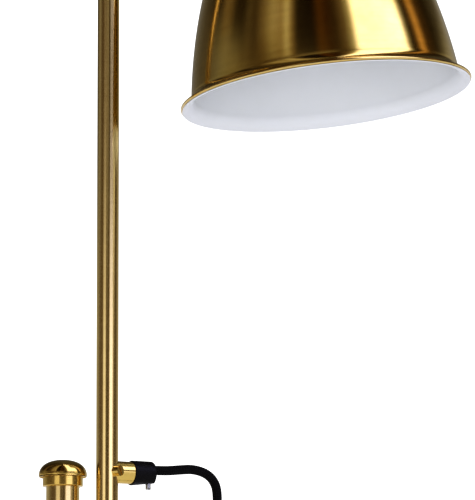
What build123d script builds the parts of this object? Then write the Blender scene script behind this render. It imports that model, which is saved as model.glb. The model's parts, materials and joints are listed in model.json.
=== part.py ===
"""Pharmacy floor lamp, in millimetres.

The frame's origin lies on the floor under the fixed column's axis. +Z is up, +X runs from the
column to the mast and out to the shade, and -Y is the lamp's front. A weighted round base carries
the fixed column. The mast slides in a bracket at the column's top and on the column by a guide at
its own foot. An arm swivels on the mast's top and carries a bell shade on a tilting knuckle.
"""
from build123d import *
from math import cos, radians, sin, tan
import os

# Clearances
RUN_GAP = 0.05  # radial gap of a running fit
SIDE_GAP = 0.2  # gap between flat faces that slide past each other
STOP_GAP = 0.1  # gap left at a stop when the joint rests on it
LINING_GAP = 0.15  # gap between the shade's wall and its lining

# Base
BASE_R = 125.0
COVER_T = 1.2
SKIRT_H = 17.2  # height of the cover's lower step above the pad
STEP_R = 86.0  # radius of the cover's raised middle
STEP_H = 6.0
COVER_ROUND = 4.0
PAD_R = 118.0
PAD_T = 2.0
WEIGHT_GAP = 0.8  # radial gap between the weight and the skirt
NIPPLE_R = 5.0
NIPPLE_BORE_R = 4.0
NUT_FLATS = 17.0
NUT_H = 6.0
NIPPLE_SHORT = 2.0  # how far the nipple stops short of the plug's top
WASHER_R = 13.0
WASHER_T = 1.5
WELL_R = 15.0  # hollow under the weight for the nut
WELL_H = 12.0
LEAD_TURN = 140.0  # direction in which the mains lead would leave, from +X towards +Y
LEAD_BORE_R = 3.3
LEAD_Z = 9.0
BUSH_R = 5.0
BUSH_FLANGE_R = 6.5
BUSH_FLANGE_T = 2.0
BUSH_L = 9.0
BLOCK_L = 24.0
BLOCK_W = 13.0
BLOCK_H = 8.0
BLOCK_NEAR = 30.0  # distance from the column's axis to the terminal block
BLOCK_LIFT = 0.5
BLOCK_WELL_R = 1.6
BLOCK_WELL_H = 2.5
BLOCK_WELL_SIDE = 3.3
BLOCK_WELL_END = 6.0
POCKET_GAP = 1.0  # room at each side of the block in the weight
POCKET_END_GAP = 2.0
LEAD_GAP = 0.3  # room above the bush in the weight's groove

# Column
COLUMN_R = 9.525
COLUMN_T = 1.2
COLUMN_TOP = 872.2
FOOT_R = 22.0
FOOT_WALL = 2.975  # wall of the foot's neck round the column
FOOT_H = 24.0
FOOT_FLOOR = 4.0
FOOT_EDGE_H = 4.0  # height of the foot's straight rim
FOOT_SHOULDER_H = 9.0
FOOT_NECK_H = 14.0  # height at which the foot's neck starts
FOOT_FLARE = 3.0  # how far the shoulder stands out from the neck
PLUG_H = 15.0
CAP_COLLAR_OUT = 1.975  # how far the cap's collar stands out from the column
CAP_COLLAR_H = 5.9
CAP_BRIM_OUT = 2.35  # how far the cap's dome stands out from its collar
CAP_H = 9.4
CAP_EDGE_ROUND = 6.5
CAP_SPIGOT_H = 10.0

# Mast
MAST_OFFSET = 25.3
MAST_R = 6.35
MAST_T = 1.0
MAST_FOOT = 484.0

# Bracket at the column's top
BRACKET_Z = 835.0
BRACKET_H = 30.0
BRACKET_COLUMN_WALL = 5.975
BRACKET_MAST_WALL = 7.15
LINER_WALL = 2.45
LINER_FLANGE_OUT = 1.65  # how far the liner's flange stands out from its sleeve
LINER_FLANGE_T = 1.5
EDGE_ROUND = 1.5
STOP_WALL = 4.15
STOP_H = 7.6
GRUB_R = 2.5
GRUB_SLOT = 0.9

# Mast clamp at the bracket's front
CLAMP_SCREW_R = 3.0
CLAMP_PAD_T = 2.0
CLAMP_PAD_GAP = 0.25
CLAMP_KNOB_R = 9.0
CLAMP_KNOB_T = 9.0
CLAMP_THROW = 2.0  # gap between the bracket and the knob's hub
KNOB_HUB_R = 5.5
KNOB_HUB_T = 3.0
KNOB_FLUTES = 14
KNOB_EDGE = 0.9
FLUTE_R = 1.0
FLUTE_OUT = 0.35  # how far each flute's centre lies outside the knob's radius
SCREW_SHORT = 2.0  # how far the clamp's screw stops short of its knob's face

# Guide at the mast's foot
GUIDE_H = 30.0
GUIDE_COLUMN_WALL = 4.025
GUIDE_MAST_WALL = 5.65
GUIDE_LINER_WALL = 2.9
END_PLUG_T = 2.0
END_PLUG_DEPTH = 8.0

# Cord ports on the mast and on the bracket
OUTLET_Z = 880.7
OUTLET_TURN = 30.0  # from +X towards the back
INLET_TURN = 60.0
BOSS_R = 6.4
BOSS_NEAR = 2.0
OUTLET_BOSS_END = 15.3
INLET_BOSS_NEAR = 9.0
INLET_BOSS_END = 22.0
SPIGOT_R = 5.6
SPIGOT_L = 6.0
PORT_BORE_R = 4.4
GRIP_R = 7.125
GRIP_L = 13.6
GRIP_BORE_R = 5.0
GRIP_ROUND = 3.0
GRIP_FLAT_L = 7.4  # the flat under the grip's outer end, for its clamp screw
GRIP_FLAT_DEPTH = 1.5
GRIP_SCREW_R = 1.5
GRIP_SCREW_OUT = 2.0  # how far the clamp screw stands out past the grip's radius
GRIP_SCREW_FROM_END = 2.3
PORT_SCREW_R = 1.6
PORT_SCREW_OUT = 0.4
PORT_SCREW_BACK = 3.6  # from the boss's outer face back to its screw
FIXING_TURN = -36.0  # direction of the screw that fixes the outlet's boss to the mast, from +X
FIXING_HEAD_R = 3.0
FIXING_HEAD_OUT = 3.5
FIXING_R = 1.6
FIXING_SLOT_TURN = 25.0
CORD_LIFT = 2.2  # the clamp screw pushes the cord this far above the grip's axis

# Cord and wiring
CORD_R = 2.75
FLEX_R = 1.8
FLEX_BEND = 6.0
FLEX_TIGHT_BEND = 3.9
FLEX_Z = 4.4  # height at which the wiring crosses under the base

# Head on top of the mast
ARM_Z = 1276.2
ARM_REACH = 108.5
ARM_R = 4.75
ARM_T = 1.0
HEAD_R = 13.0
HEAD_BELOW = 15.0
HEAD_ABOVE = 10.0
HEAD_FLOOR = 7.0
HEAD_CAVITY_R = 9.0
HEAD_BOSS_R = 7.5
HEAD_BOSS_END = 20.0
HEAD_SCREW_BACK = 3.5  # from the boss's outer face back to the arm's set screw
EDGE_CHAMFER = 0.8
SPINDLE_R = 4.5
SPINDLE_BORE_R = 2.6
SPINDLE_FLANGE_R = 7.5
SPINDLE_FLANGE_T = 3.0
SPINDLE_PLUG = 15.0
SPINDLE_TOP = 10.5  # above the head's lower face
SPINDLE_NUT_FLATS = 13.0
SPINDLE_NUT_H = 3.0
WAVE_WASHER_T = 1.0
HEAD_CAP_H = 7.0
HEAD_CAP_SPIGOT = 3.0
FINIAL_R = 4.0

# Tilting knuckle
TILT = 6.1  # the shade's axis leans this far from upright, its mouth outwards
TONGUE_T = 5.4
TONGUE_R = 6.8
TONGUE_STEM_W = 9.0
TONGUE_BASE_R = 9.0
TONGUE_BASE_T = 3.0
STUD_R = 4.0
STUD_L = 7.0
STUD_NUT_FLATS = 13.0
STUD_NUT_H = 3.5
EAR_T = 3.1
EAR_R = 7.0
CLEVIS_R = 6.5
CLEVIS_FAR = 24.0  # from the pivot back to the clevis's end on the arm
CLEVIS_NEAR = 10.0
CLEVIS_SOCKET = 9.0
BOLT_R = 2.5
BOLT_HEAD_R = 5.0
BOLT_HEAD_T = 2.5
TILT_WASHER_R = 6.0
TILT_WASHER_T = 1.0
TILT_KNOB_R = 9.0
TILT_KNOB_T = 10.0
BOLT_IN_KNOB = 7.0

# Shade, measured along its own axis from the plane of its rim
PIVOT_H = 178.0
SHADE_DEPTH = 118.0
SHADE_T = 1.0
LINING_T = 0.5
RIM_R = 85.4
BEAD_R = 1.0
BEAD_SINK = 0.7  # how far off the bead's centre each face of the flare meets it
FLARE_R = 78.45
FLARE_H = 8.6
WAIST_R = 74.5
WAIST_H = 32.7
SHOULDER_R = 67.0
SHOULDER_H = 62.0
NECK_FLAT = 1.0  # flat of the neck outside the cup's foot
HOLDER_R = 19.6

# Socket cup, lamp holder, switch and bulb
CUP_GAP = 1.9  # between the lamp holder and the cup
CUP_T = 1.3
CUP_TOP = 160.0
CUP_FOOT_OUT = 2.2  # how far the cup's foot stands out from its wall
CUP_FOOT_T = 2.0
CUP_ROUND = 5.0
HOLDER_LOW = 104.0
HOLDER_NECK = 128.0
HOLDER_TOP = 146.0
HOLDER_STEP = 2.1  # how far the holder's body is set in from its skirt
BULB_GAP = 0.4
HOLDER_BORE_TOP = 131.0
RING_W = 3.9
RING_H = 3.5
SWITCH_L = 24.0
SWITCH_W = 18.0
SWITCH_H = 6.5
SWITCH_SHAFT_R = 2.0
SWITCH_SHAFT_FROM = 6.0
SWITCH_HOLE_R = 2.3
SWITCH_KNOB_R = 7.0
SWITCH_KNOB_T = 7.0
SWITCH_HUB_R = 4.2
SWITCH_HUB_T = 2.0
SWITCH_KNOB_GAP = 0.8
BULB_R = 22.5
BULB_LOW = 47.0
BULB_NECK_R = 12.4
BULB_NECK_TOP = 110.0
BULB_T = 0.8
BULB_CAP_R = 13.2
BULB_CAP_LOW = 104.6
BULB_CAP_TOP = 128.0
BULB_CAP_T = 1.0
CONTACT_R = 5.0

# The slack cord from the mast's outlet back into the bracket, as points chosen by hand
LOOP_POINTS = [
    (50.328, 14.45, 882.9),
    (58.122, 18.95, 882.9),
    (66.2, 23.5, 884.0),
    (74.4, 27.6, 884.8),
    (82.3, 31.1, 882.4),
    (87.0, 32.9, 877.0),
    (88.2, 33.4, 869.4),
    (87.4, 33.6, 858.0),
    (86.8, 33.8, 845.5),
    (85.4, 34.2, 826.0),
    (83.6, 34.8, 802.0),
    (82.4, 35.6, 774.0),
    (81.6, 36.6, 746.0),
    (80.4, 37.8, 722.5),
    (77.4, 39.4, 704.0),
    (71.4, 41.6, 691.6),
    (62.6, 44.4, 685.4),
    (52.4, 47.8, 687.5),
    (43.4, 51.2, 698.0),
    (37.6, 54.2, 716.0),
    (35.0, 56.6, 740.0),
    (34.2, 58.4, 766.0),
    (33.8, 59.4, 791.0),
    (33.4, 59.0, 812.0),
    (32.9, 57.2, 823.5),
    (31.2, 54.0, 831.5),
    (28.0, 48.5, 836.9),
    (22.3, 38.625, 837.2),
    (17.8, 30.831, 837.2),
]

# Places worked out from the sizes above
FLOOR_Z = PAD_T
WEIGHT_R = BASE_R - COVER_T - WEIGHT_GAP
LOWER_TOP = FLOOR_Z + SKIRT_H
BASE_TOP = LOWER_TOP + STEP_H
COLUMN_BORE_R = COLUMN_R - COLUMN_T
COLUMN_FOOT = BASE_TOP + FOOT_FLOOR
FOOT_NECK_R = COLUMN_R + FOOT_WALL
CAP_COLLAR_R = COLUMN_R + CAP_COLLAR_OUT
CAP_R = CAP_COLLAR_R + CAP_BRIM_OUT
BRACKET_COLUMN_R = COLUMN_R + BRACKET_COLUMN_WALL
BRACKET_MAST_R = MAST_R + BRACKET_MAST_WALL
BRACKET_LOW = BRACKET_Z - BRACKET_H / 2
BRACKET_TOP = BRACKET_Z + BRACKET_H / 2
LINER_TOP = BRACKET_TOP + LINER_FLANGE_T
LINER_BORE_R = MAST_R + RUN_GAP
LINER_R = LINER_BORE_R + LINER_WALL
LINER_FLANGE_R = LINER_R + LINER_FLANGE_OUT
STOP_R = MAST_R + STOP_WALL
STOP_LOW = LINER_TOP + STOP_GAP
MAST_BORE_R = MAST_R - MAST_T
GUIDE_LOW = MAST_FOOT + END_PLUG_T
GUIDE_TOP = GUIDE_LOW + GUIDE_H
GUIDE_LINER_R = COLUMN_R + RUN_GAP + GUIDE_LINER_WALL
GUIDE_COLUMN_R = GUIDE_LINER_R + GUIDE_COLUMN_WALL
GUIDE_MAST_R = MAST_R + GUIDE_MAST_WALL
HEAD_LOW = ARM_Z - HEAD_BELOW
HEAD_TOP = ARM_Z + HEAD_ABOVE
SPINDLE_SEAT = HEAD_LOW - STOP_GAP - WAVE_WASHER_T
MAST_TOP = SPINDLE_SEAT - SPINDLE_FLANGE_T
PIVOT_X = MAST_OFFSET + ARM_REACH
EAR_NEAR = TONGUE_T / 2 + SIDE_GAP
EAR_FAR = EAR_NEAR + EAR_T
WASHER_FAR = EAR_FAR + TILT_WASHER_T
SHELL_UNDER = SHADE_DEPTH - SHADE_T
LINING_UNDER = SHELL_UNDER - LINING_T
BEAD_H = LINING_T + LINING_GAP + BEAD_R  # the lining's lip passes under the bead
RING_R = HOLDER_R + RING_W
CUP_R = HOLDER_R + CUP_GAP + CUP_T
CUP_FOOT_R = CUP_R + CUP_FOOT_OUT
NECK_R = CUP_FOOT_R + NECK_FLAT
HOLDER_BODY_R = HOLDER_R - HOLDER_STEP
HOLDER_BORE_R = BULB_CAP_R + BULB_GAP
CUP_UNDER = CUP_TOP - CUP_T
SWITCH_Z = HOLDER_TOP + SWITCH_H / 2
OUTLET_END = OUTLET_BOSS_END + GRIP_L
INLET_END = INLET_BOSS_END + GRIP_L

ON_BASE = (Align.CENTER, Align.CENTER, Align.MIN)
OUTLET = Pos(MAST_OFFSET, 0, OUTLET_Z) * Rot(0, 0, OUTLET_TURN)
INLET = Pos(0, 0, BRACKET_Z) * Rot(0, 0, INLET_TURN)
INLET_SCREW = INLET * Pos(INLET_BOSS_END - PORT_SCREW_BACK, 0, 0) * Rot(-90, 0, 0)
FIXING = Pos(MAST_OFFSET, 0, OUTLET_Z) * Rot(0, 0, FIXING_TURN)
LEAD = Rot(0, 0, LEAD_TURN)
PIVOT = Pos(PIVOT_X, 0, ARM_Z)
SHADE = PIVOT * Rot(0, -TILT, 0) * Pos(0, 0, -PIVOT_H)


def upright(radius, low, high, x=0.0):
    """A solid cylinder about an upright axis, between two heights."""
    return Pos(x, 0, low) * Cylinder(radius, high - low, align=ON_BASE)


def upright_tube(outer, inner, low, high, x=0.0):
    """A tube about an upright axis, between two heights."""
    return upright(outer, low, high, x) - upright(inner, low, high, x)


def along_x(radius, near, far):
    """A solid cylinder about the X axis, between two distances."""
    return Pos(near, 0, 0) * Rot(0, 90, 0) * Cylinder(radius, far - near, align=ON_BASE)


def along_y(radius, near, far):
    """A solid cylinder about the Y axis, between two distances."""
    return Pos(0, near, 0) * Rot(-90, 0, 0) * Cylinder(radius, far - near, align=ON_BASE)


def turned(points, rounds=None):
    """A closed outline of (radius, height) points, turned about Z, each corner with its own round."""
    radii = rounds or [0] * len(points)
    outline = FilletPolyline(points, radius=radii, close=True)
    return revolve(Plane.XZ * make_face(outline), Axis.Z)


def hexagon(flats, low, high):
    """A hexagonal nut blank, with its width across flats."""
    return Pos(0, 0, low) * extrude(RegularPolygon(flats / 2, 6, major_radius=False), high - low)


def fluted_knob(radius, thickness, hub_radius, hub):
    """A hand knob about Z: a hub from 0 to hub, then a grooved head."""
    head = Pos(0, 0, hub) * Cylinder(radius, thickness, align=ON_BASE)
    head = chamfer(head.edges().filter_by(GeomType.CIRCLE), KNOB_EDGE)
    groove = Pos(radius + FLUTE_OUT, 0, hub) * Cylinder(FLUTE_R, thickness, align=ON_BASE)
    for turn in range(KNOB_FLUTES):
        head -= Rot(0, 0, 360 * turn / KNOB_FLUTES) * groove
    return head + Cylinder(hub_radius, hub, align=ON_BASE)


def grub(radius, near, far):
    """A slotted grub screw along Z, slotted at its far end."""
    screw = Pos(0, 0, near) * Cylinder(radius, far - near, align=ON_BASE)
    return screw - Pos(0, 0, far) * Box(3 * radius, GRUB_SLOT, 2 * GRUB_SLOT)


def facing_front(x, z):
    """A place whose own +Z points to the lamp's front, at a given x and height."""
    return Pos(x, 0, z) * Rot(90, 0, 0)


def two_lobes(column_lobe, mast_lobe, low, high):
    """The outline round the column and the mast, raised between two heights."""
    column_edge = Circle(column_lobe).edges()
    mast_edge = (Pos(MAST_OFFSET, 0) * Circle(mast_lobe)).edges()
    block = Pos(0, 0, low) * extrude(make_hull([*column_edge, *mast_edge]), high - low)
    rims = block.faces().sort_by(Axis.Z)
    return fillet([*rims[0].edges(), *rims[-1].edges()], EDGE_ROUND)


def tube_on_route(radius, points, radii):
    """A round tube along straight runs that are joined by tangent arcs."""
    route = FilletPolyline(points, radius=radii)
    start = Plane(origin=route @ 0, z_dir=route % 0)
    return sweep(start * Circle(radius), path=route), route.length


# Base and column

def floor_pad():
    return upright(PAD_R, 0, PAD_T)


def lead_pocket():
    """The groove and the pocket under the weight for the mains lead and the terminal block."""
    groove_h = LEAD_Z + BUSH_R + LEAD_GAP - FLOOR_Z
    groove = Pos(0, 0, FLOOR_Z) * Box(WEIGHT_R + 1, 2 * BUSH_R, groove_h,
                                      align=(Align.MIN, Align.CENTER, Align.MIN))
    room = Box(BLOCK_L + 2 * POCKET_END_GAP, BLOCK_W + 2 * POCKET_GAP, BLOCK_H + BLOCK_LIFT,
               align=(Align.MIN, Align.CENTER, Align.MIN))
    pocket = Pos(BLOCK_NEAR - POCKET_END_GAP, 0, FLOOR_Z) * room
    return LEAD * (groove + pocket)


def base_weight():
    lower = LOWER_TOP - COVER_T
    upper = BASE_TOP - COVER_T
    inner = STEP_R - 2 * COVER_ROUND
    outline = [(NIPPLE_R, FLOOR_Z), (WEIGHT_R, FLOOR_Z), (WEIGHT_R, lower), (inner, lower), (inner, upper),
               (NIPPLE_R, upper)]
    iron = turned(outline, [0, 0, COVER_ROUND, 0, COVER_ROUND, 0])
    iron -= upright(WELL_R, FLOOR_Z, FLOOR_Z + WELL_H)
    return iron - lead_pocket()


def base_cover():
    inner_r = BASE_R - COVER_T
    step_inner_r = STEP_R - COVER_T
    outline = [
        (NIPPLE_R, BASE_TOP), (STEP_R, BASE_TOP), (STEP_R, LOWER_TOP), (BASE_R, LOWER_TOP), (BASE_R, FLOOR_Z),
        (inner_r, FLOOR_Z), (inner_r, LOWER_TOP - COVER_T), (step_inner_r, LOWER_TOP - COVER_T),
        (step_inner_r, BASE_TOP - COVER_T), (NIPPLE_R, BASE_TOP - COVER_T),
    ]
    outer_round = COVER_ROUND
    inner_round = COVER_ROUND - COVER_T
    sheet = turned(outline, [0, outer_round / 2, outer_round / 4, outer_round, 0, 0, inner_round,
                             outer_round / 2, outer_round / 4, 0])
    return sheet - LEAD * Pos(0, 0, LEAD_Z) * along_x(BUSH_R, inner_r - 5, BASE_R + 1)


def mains_bush():
    """The grommet in the skirt through which a mains lead would pass."""
    bush = along_x(BUSH_R, BASE_R - BUSH_L + BUSH_FLANGE_T, BASE_R)
    skirt_flat = (BASE_R**2 - BUSH_FLANGE_R**2) ** 0.5
    flange = along_x(BUSH_FLANGE_R, skirt_flat, BASE_R + BUSH_FLANGE_T)
    flange -= Pos(0, 0, -LEAD_Z) * upright(BASE_R, FLOOR_Z, LOWER_TOP)
    bore = along_x(LEAD_BORE_R, BASE_R - BUSH_L, BASE_R + BUSH_FLANGE_T)
    return LEAD * Pos(0, 0, LEAD_Z) * (bush + flange - bore)


def terminal_block():
    low = FLOOR_Z + BLOCK_LIFT
    block = Pos(BLOCK_NEAR, 0, low) * Box(BLOCK_L, BLOCK_W, BLOCK_H, align=(Align.MIN, Align.CENTER, Align.MIN))
    for side in (-1, 1):
        for end in (BLOCK_WELL_END, BLOCK_L - BLOCK_WELL_END):
            well = upright(BLOCK_WELL_R, low, low + BLOCK_WELL_H, BLOCK_NEAR + end)
            block -= Pos(0, side * BLOCK_WELL_SIDE, 0) * well
    return LEAD * block


def base_nipple():
    low = FLOOR_Z + WELL_H - WASHER_T - NUT_H
    return upright_tube(NIPPLE_R, NIPPLE_BORE_R, low, COLUMN_FOOT + PLUG_H - NIPPLE_SHORT)


def base_washer():
    top = FLOOR_Z + WELL_H
    return upright_tube(WASHER_R, NIPPLE_R, top - WASHER_T, top)


def base_nut():
    top = FLOOR_Z + WELL_H - WASHER_T
    return hexagon(NUT_FLATS, top - NUT_H, top) - upright(NIPPLE_R, top - NUT_H, top)


def column_foot():
    top = BASE_TOP + FOOT_H
    outline = [
        (NIPPLE_R, BASE_TOP), (FOOT_R, BASE_TOP), (FOOT_R, BASE_TOP + FOOT_EDGE_H),
        (FOOT_NECK_R + FOOT_FLARE, BASE_TOP + FOOT_SHOULDER_H), (FOOT_NECK_R, BASE_TOP + FOOT_NECK_H), (FOOT_NECK_R, top), (COLUMN_R, top), (COLUMN_R, COLUMN_FOOT),
        (NIPPLE_R, COLUMN_FOOT),
    ]
    return turned(outline, [0, 0.6, 2.5, 3, 3, 1, 0, 0, 0])


def column_plug():
    return upright_tube(COLUMN_BORE_R, NIPPLE_R, COLUMN_FOOT, COLUMN_FOOT + PLUG_H)


def column_tube():
    return upright_tube(COLUMN_R, COLUMN_BORE_R, COLUMN_FOOT, COLUMN_TOP) - INLET * along_x(PORT_BORE_R, 0, INLET_BOSS_END)


def column_cap():
    """The mushroom cap: a collar, a dome of two tangent arcs and a spigot in the column."""
    under = COLUMN_TOP + CAP_COLLAR_H
    edge_x = CAP_R - CAP_EDGE_ROUND
    crown_r = (edge_x**2 + CAP_H**2 - CAP_EDGE_ROUND**2) / (2 * (CAP_H - CAP_EDGE_ROUND))
    meet = CAP_EDGE_ROUND / (crown_r - CAP_EDGE_ROUND)
    shoulder = (edge_x * (1 + meet), under + (crown_r - CAP_H) * meet)
    edge = TangentArc((CAP_R, under), shoulder, tangent=(0, 1))
    crown = TangentArc(shoulder, (0, under + CAP_H), tangent=edge % 1)
    rest = Polyline((0, under + CAP_H), (0, COLUMN_TOP - CAP_SPIGOT_H), (COLUMN_BORE_R, COLUMN_TOP - CAP_SPIGOT_H),
                    (COLUMN_BORE_R, COLUMN_TOP), (CAP_COLLAR_R, COLUMN_TOP), (CAP_COLLAR_R, under),
                    (CAP_R, under))
    return revolve(Plane.XZ * make_face([edge, crown, *rest.edges()]), Axis.Z)


def column_inner_flex():
    """The wiring from the terminal block, up the column and out to the bracket's cord grip."""
    top = BRACKET_Z + CORD_LIFT
    block = Vector(BLOCK_NEAR, 0, FLEX_Z).rotate(Axis.Z, LEAD_TURN)
    end = Vector(INLET_END, 0, top).rotate(Axis.Z, INLET_TURN)
    return tube_on_route(FLEX_R, [block, (0, 0, FLEX_Z), (0, 0, top), end], [FLEX_TIGHT_BEND, FLEX_BEND])[0]


# Bracket and the clamp on it

def bracket_body():
    body = two_lobes(BRACKET_COLUMN_R, BRACKET_MAST_R, BRACKET_LOW, BRACKET_TOP)
    body -= upright(COLUMN_R, BRACKET_LOW, BRACKET_TOP)
    body -= upright(LINER_R, BRACKET_LOW, BRACKET_TOP, MAST_OFFSET)
    body -= INLET * along_x(PORT_BORE_R, 0, INLET_BOSS_END)
    body -= facing_front(0, BRACKET_Z) * upright(GRUB_R, 0, BRACKET_COLUMN_R + 1)
    return body - facing_front(MAST_OFFSET, BRACKET_Z) * upright(CLAMP_SCREW_R + RUN_GAP, 0, BRACKET_MAST_R + 1)


def bracket_grub_screw():
    return facing_front(0, BRACKET_Z) * grub(GRUB_R, COLUMN_R, BRACKET_COLUMN_R - 0.5)


def bracket_liner():
    """The plastic sleeve in which the mast slides, with a flange that the mast's stop rests on."""
    liner = upright(LINER_R, BRACKET_LOW, BRACKET_TOP, MAST_OFFSET)
    liner += upright(LINER_FLANGE_R, BRACKET_TOP, LINER_TOP, MAST_OFFSET)
    liner -= upright(LINER_BORE_R, BRACKET_LOW, LINER_TOP, MAST_OFFSET)
    return liner - facing_front(MAST_OFFSET, BRACKET_Z) * upright(CLAMP_SCREW_R + RUN_GAP, 0, LINER_R + 1)


def clamp_pad():
    """The plastic pad that the clamp screw presses on the mast."""
    near = MAST_R + CLAMP_PAD_GAP
    pad = facing_front(MAST_OFFSET, BRACKET_Z) * upright(CLAMP_SCREW_R + RUN_GAP, near, near + CLAMP_PAD_T)
    return pad


def clamp_screw_near():
    return MAST_R + CLAMP_PAD_GAP + CLAMP_PAD_T + STOP_GAP


def mast_clamp_screw():
    far = BRACKET_MAST_R + CLAMP_THROW + KNOB_HUB_T + CLAMP_KNOB_T - SCREW_SHORT
    return facing_front(MAST_OFFSET, BRACKET_Z) * upright(CLAMP_SCREW_R, clamp_screw_near(), far)


def mast_clamp_knob():
    knob = fluted_knob(CLAMP_KNOB_R, CLAMP_KNOB_T, KNOB_HUB_R, KNOB_HUB_T)
    knob = Pos(0, 0, BRACKET_MAST_R + CLAMP_THROW) * knob
    return facing_front(MAST_OFFSET, BRACKET_Z) * knob - mast_clamp_screw()


# Cord ports: a brass boss with a spigot, a black grip on it and the grip's clamp screw

def port_boss(near, end):
    boss = along_x(BOSS_R, near, end) + along_x(SPIGOT_R, end, end + SPIGOT_L)
    return boss - along_x(PORT_BORE_R, near, end + SPIGOT_L)


def port_grip(end):
    """A cylinder about X on the boss's spigot, rounded at its outer end and with a flat under it."""
    far = end + GRIP_L
    grip = along_x(GRIP_R, end, far)
    grip = fillet(grip.faces().sort_by(Axis.X)[-1].edges(), GRIP_ROUND)
    slope = far - GRIP_FLAT_L - GRIP_FLAT_DEPTH
    flat_z = GRIP_FLAT_DEPTH - GRIP_R
    outline = Polyline((slope, -GRIP_R), (far, -GRIP_R), (far, flat_z), (far - GRIP_FLAT_L, flat_z), close=True)
    grip -= extrude(Plane.XZ * make_face(outline), GRIP_R, both=True)
    grip -= along_x(SPIGOT_R, end, end + SPIGOT_L)
    grip -= along_x(GRIP_BORE_R, end + SPIGOT_L, far)
    return grip - Pos(far - GRIP_SCREW_FROM_END, 0, 0) * Rot(180, 0, 0) * upright(GRIP_SCREW_R, 0, GRIP_R)


def port_grip_screw(end):
    """The screw under a grip that presses the wiring up, its slot across the port."""
    screw = Rot(0, 0, 90) * grub(GRIP_SCREW_R, FLEX_R - CORD_LIFT, GRIP_R + GRIP_SCREW_OUT)
    return Pos(end + GRIP_L - GRIP_SCREW_FROM_END, 0, 0) * Rot(180, 0, 0) * screw


def inlet_boss():
    """The port brazed to the bracket, with a hole at the back for its set screw."""
    bracket = two_lobes(BRACKET_COLUMN_R, BRACKET_MAST_R, BRACKET_LOW, BRACKET_TOP)
    boss = INLET * port_boss(INLET_BOSS_NEAR, INLET_BOSS_END) - bracket
    return boss - INLET_SCREW * upright(PORT_SCREW_R, 0, BOSS_R + 1)


def outlet_boss():
    """The port on the mast, spot-faced at its root for the screw that fixes it."""
    boss = OUTLET * port_boss(BOSS_NEAR, OUTLET_BOSS_END) - upright(MAST_R, MAST_FOOT, MAST_TOP, MAST_OFFSET)
    return boss - FIXING * along_x(FIXING_HEAD_R, 0, OUTLET_BOSS_END)


def outlet_screw():
    """The slotted screw that fixes the outlet's boss, its shank through the mast's wall."""
    far = MAST_R + FIXING_HEAD_OUT
    head = FIXING * along_x(FIXING_HEAD_R, MAST_BORE_R, far)
    head -= upright(MAST_R, MAST_FOOT, MAST_TOP, MAST_OFFSET)
    slot = Box(2 * GRUB_SLOT, GRUB_SLOT, 3 * FIXING_HEAD_R)
    head -= FIXING * Pos(far, 0, 0) * Rot(FIXING_SLOT_TURN, 0, 0) * slot
    return head + FIXING * along_x(FIXING_R, MAST_BORE_R, MAST_R)


def corner_radii(points):
    """Each corner's arc: 0.45 of its shorter run, divided by the tangent of half its turn."""
    places = [Vector(*point) for point in points]
    radii = []
    for before, corner, after in zip(places, places[1:], places[2:]):
        turn = (corner - before).get_angle(after - corner)
        shorter = min((corner - before).length, (after - corner).length)
        radii.append(0.45 * shorter / tan(radians(turn / 2)))
    return radii


def loop_cord():
    """The slack textile cord that lets the mast rise: one tube on straight runs and tangent arcs."""
    radii = corner_radii(LOOP_POINTS)
    cord, length = tube_on_route(CORD_R, LOOP_POINTS, radii)
    print("loop cord radii", [round(radius, 1) for radius in radii])
    print("loop cord length", round(length, 1), "volume share", round(cord.volume / (length * Circle(CORD_R).area), 4))
    return cord


# Mast

def mast_tube():
    tube = upright_tube(MAST_R, MAST_BORE_R, MAST_FOOT, MAST_TOP, MAST_OFFSET)
    tube -= OUTLET * along_x(PORT_BORE_R, 0, OUTLET_BOSS_END)
    return tube - FIXING * along_x(FIXING_R, 0, MAST_R + 1)


def mast_stop_collar():
    collar = upright_tube(STOP_R, MAST_R, STOP_LOW, STOP_LOW + STOP_H, MAST_OFFSET)
    return collar - facing_front(MAST_OFFSET, STOP_LOW + STOP_H / 2) * upright(PORT_SCREW_R, 0, STOP_R + 1)


def stop_collar_screw():
    return facing_front(MAST_OFFSET, STOP_LOW + STOP_H / 2) * grub(PORT_SCREW_R, MAST_R, STOP_R - 0.4)


def guide_body():
    body = two_lobes(GUIDE_COLUMN_R, GUIDE_MAST_R, GUIDE_LOW, GUIDE_TOP)
    body -= upright(GUIDE_LINER_R, GUIDE_LOW, GUIDE_TOP)
    body -= upright(MAST_R, GUIDE_LOW, GUIDE_TOP, MAST_OFFSET)
    return body - facing_front(MAST_OFFSET, 0.5 * (GUIDE_LOW + GUIDE_TOP)) * upright(GRUB_R, 0, GUIDE_MAST_R + 1)


def guide_screw():
    return facing_front(MAST_OFFSET, 0.5 * (GUIDE_LOW + GUIDE_TOP)) * grub(GRUB_R, MAST_R, GUIDE_MAST_R - 0.5)


def guide_liner():
    return upright_tube(GUIDE_LINER_R, COLUMN_R + RUN_GAP, GUIDE_LOW, GUIDE_TOP)


def mast_end_plug():
    plug = upright(MAST_R, MAST_FOOT - END_PLUG_T, MAST_FOOT, MAST_OFFSET)
    return plug + upright(MAST_BORE_R, MAST_FOOT, MAST_FOOT + END_PLUG_DEPTH, MAST_OFFSET)


def mast_inner_flex():
    """The wiring from the mast's cord grip, in through the boss and up the mast into the head."""
    level = OUTLET_Z + CORD_LIFT
    end = Vector(OUTLET_END, 0, 0).rotate(Axis.Z, OUTLET_TURN) + Vector(MAST_OFFSET, 0, level)
    top = (MAST_OFFSET, 0, HEAD_LOW + SPINDLE_TOP)
    return tube_on_route(FLEX_R, [end, (MAST_OFFSET, 0, level), top], [FLEX_TIGHT_BEND])[0]


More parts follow.
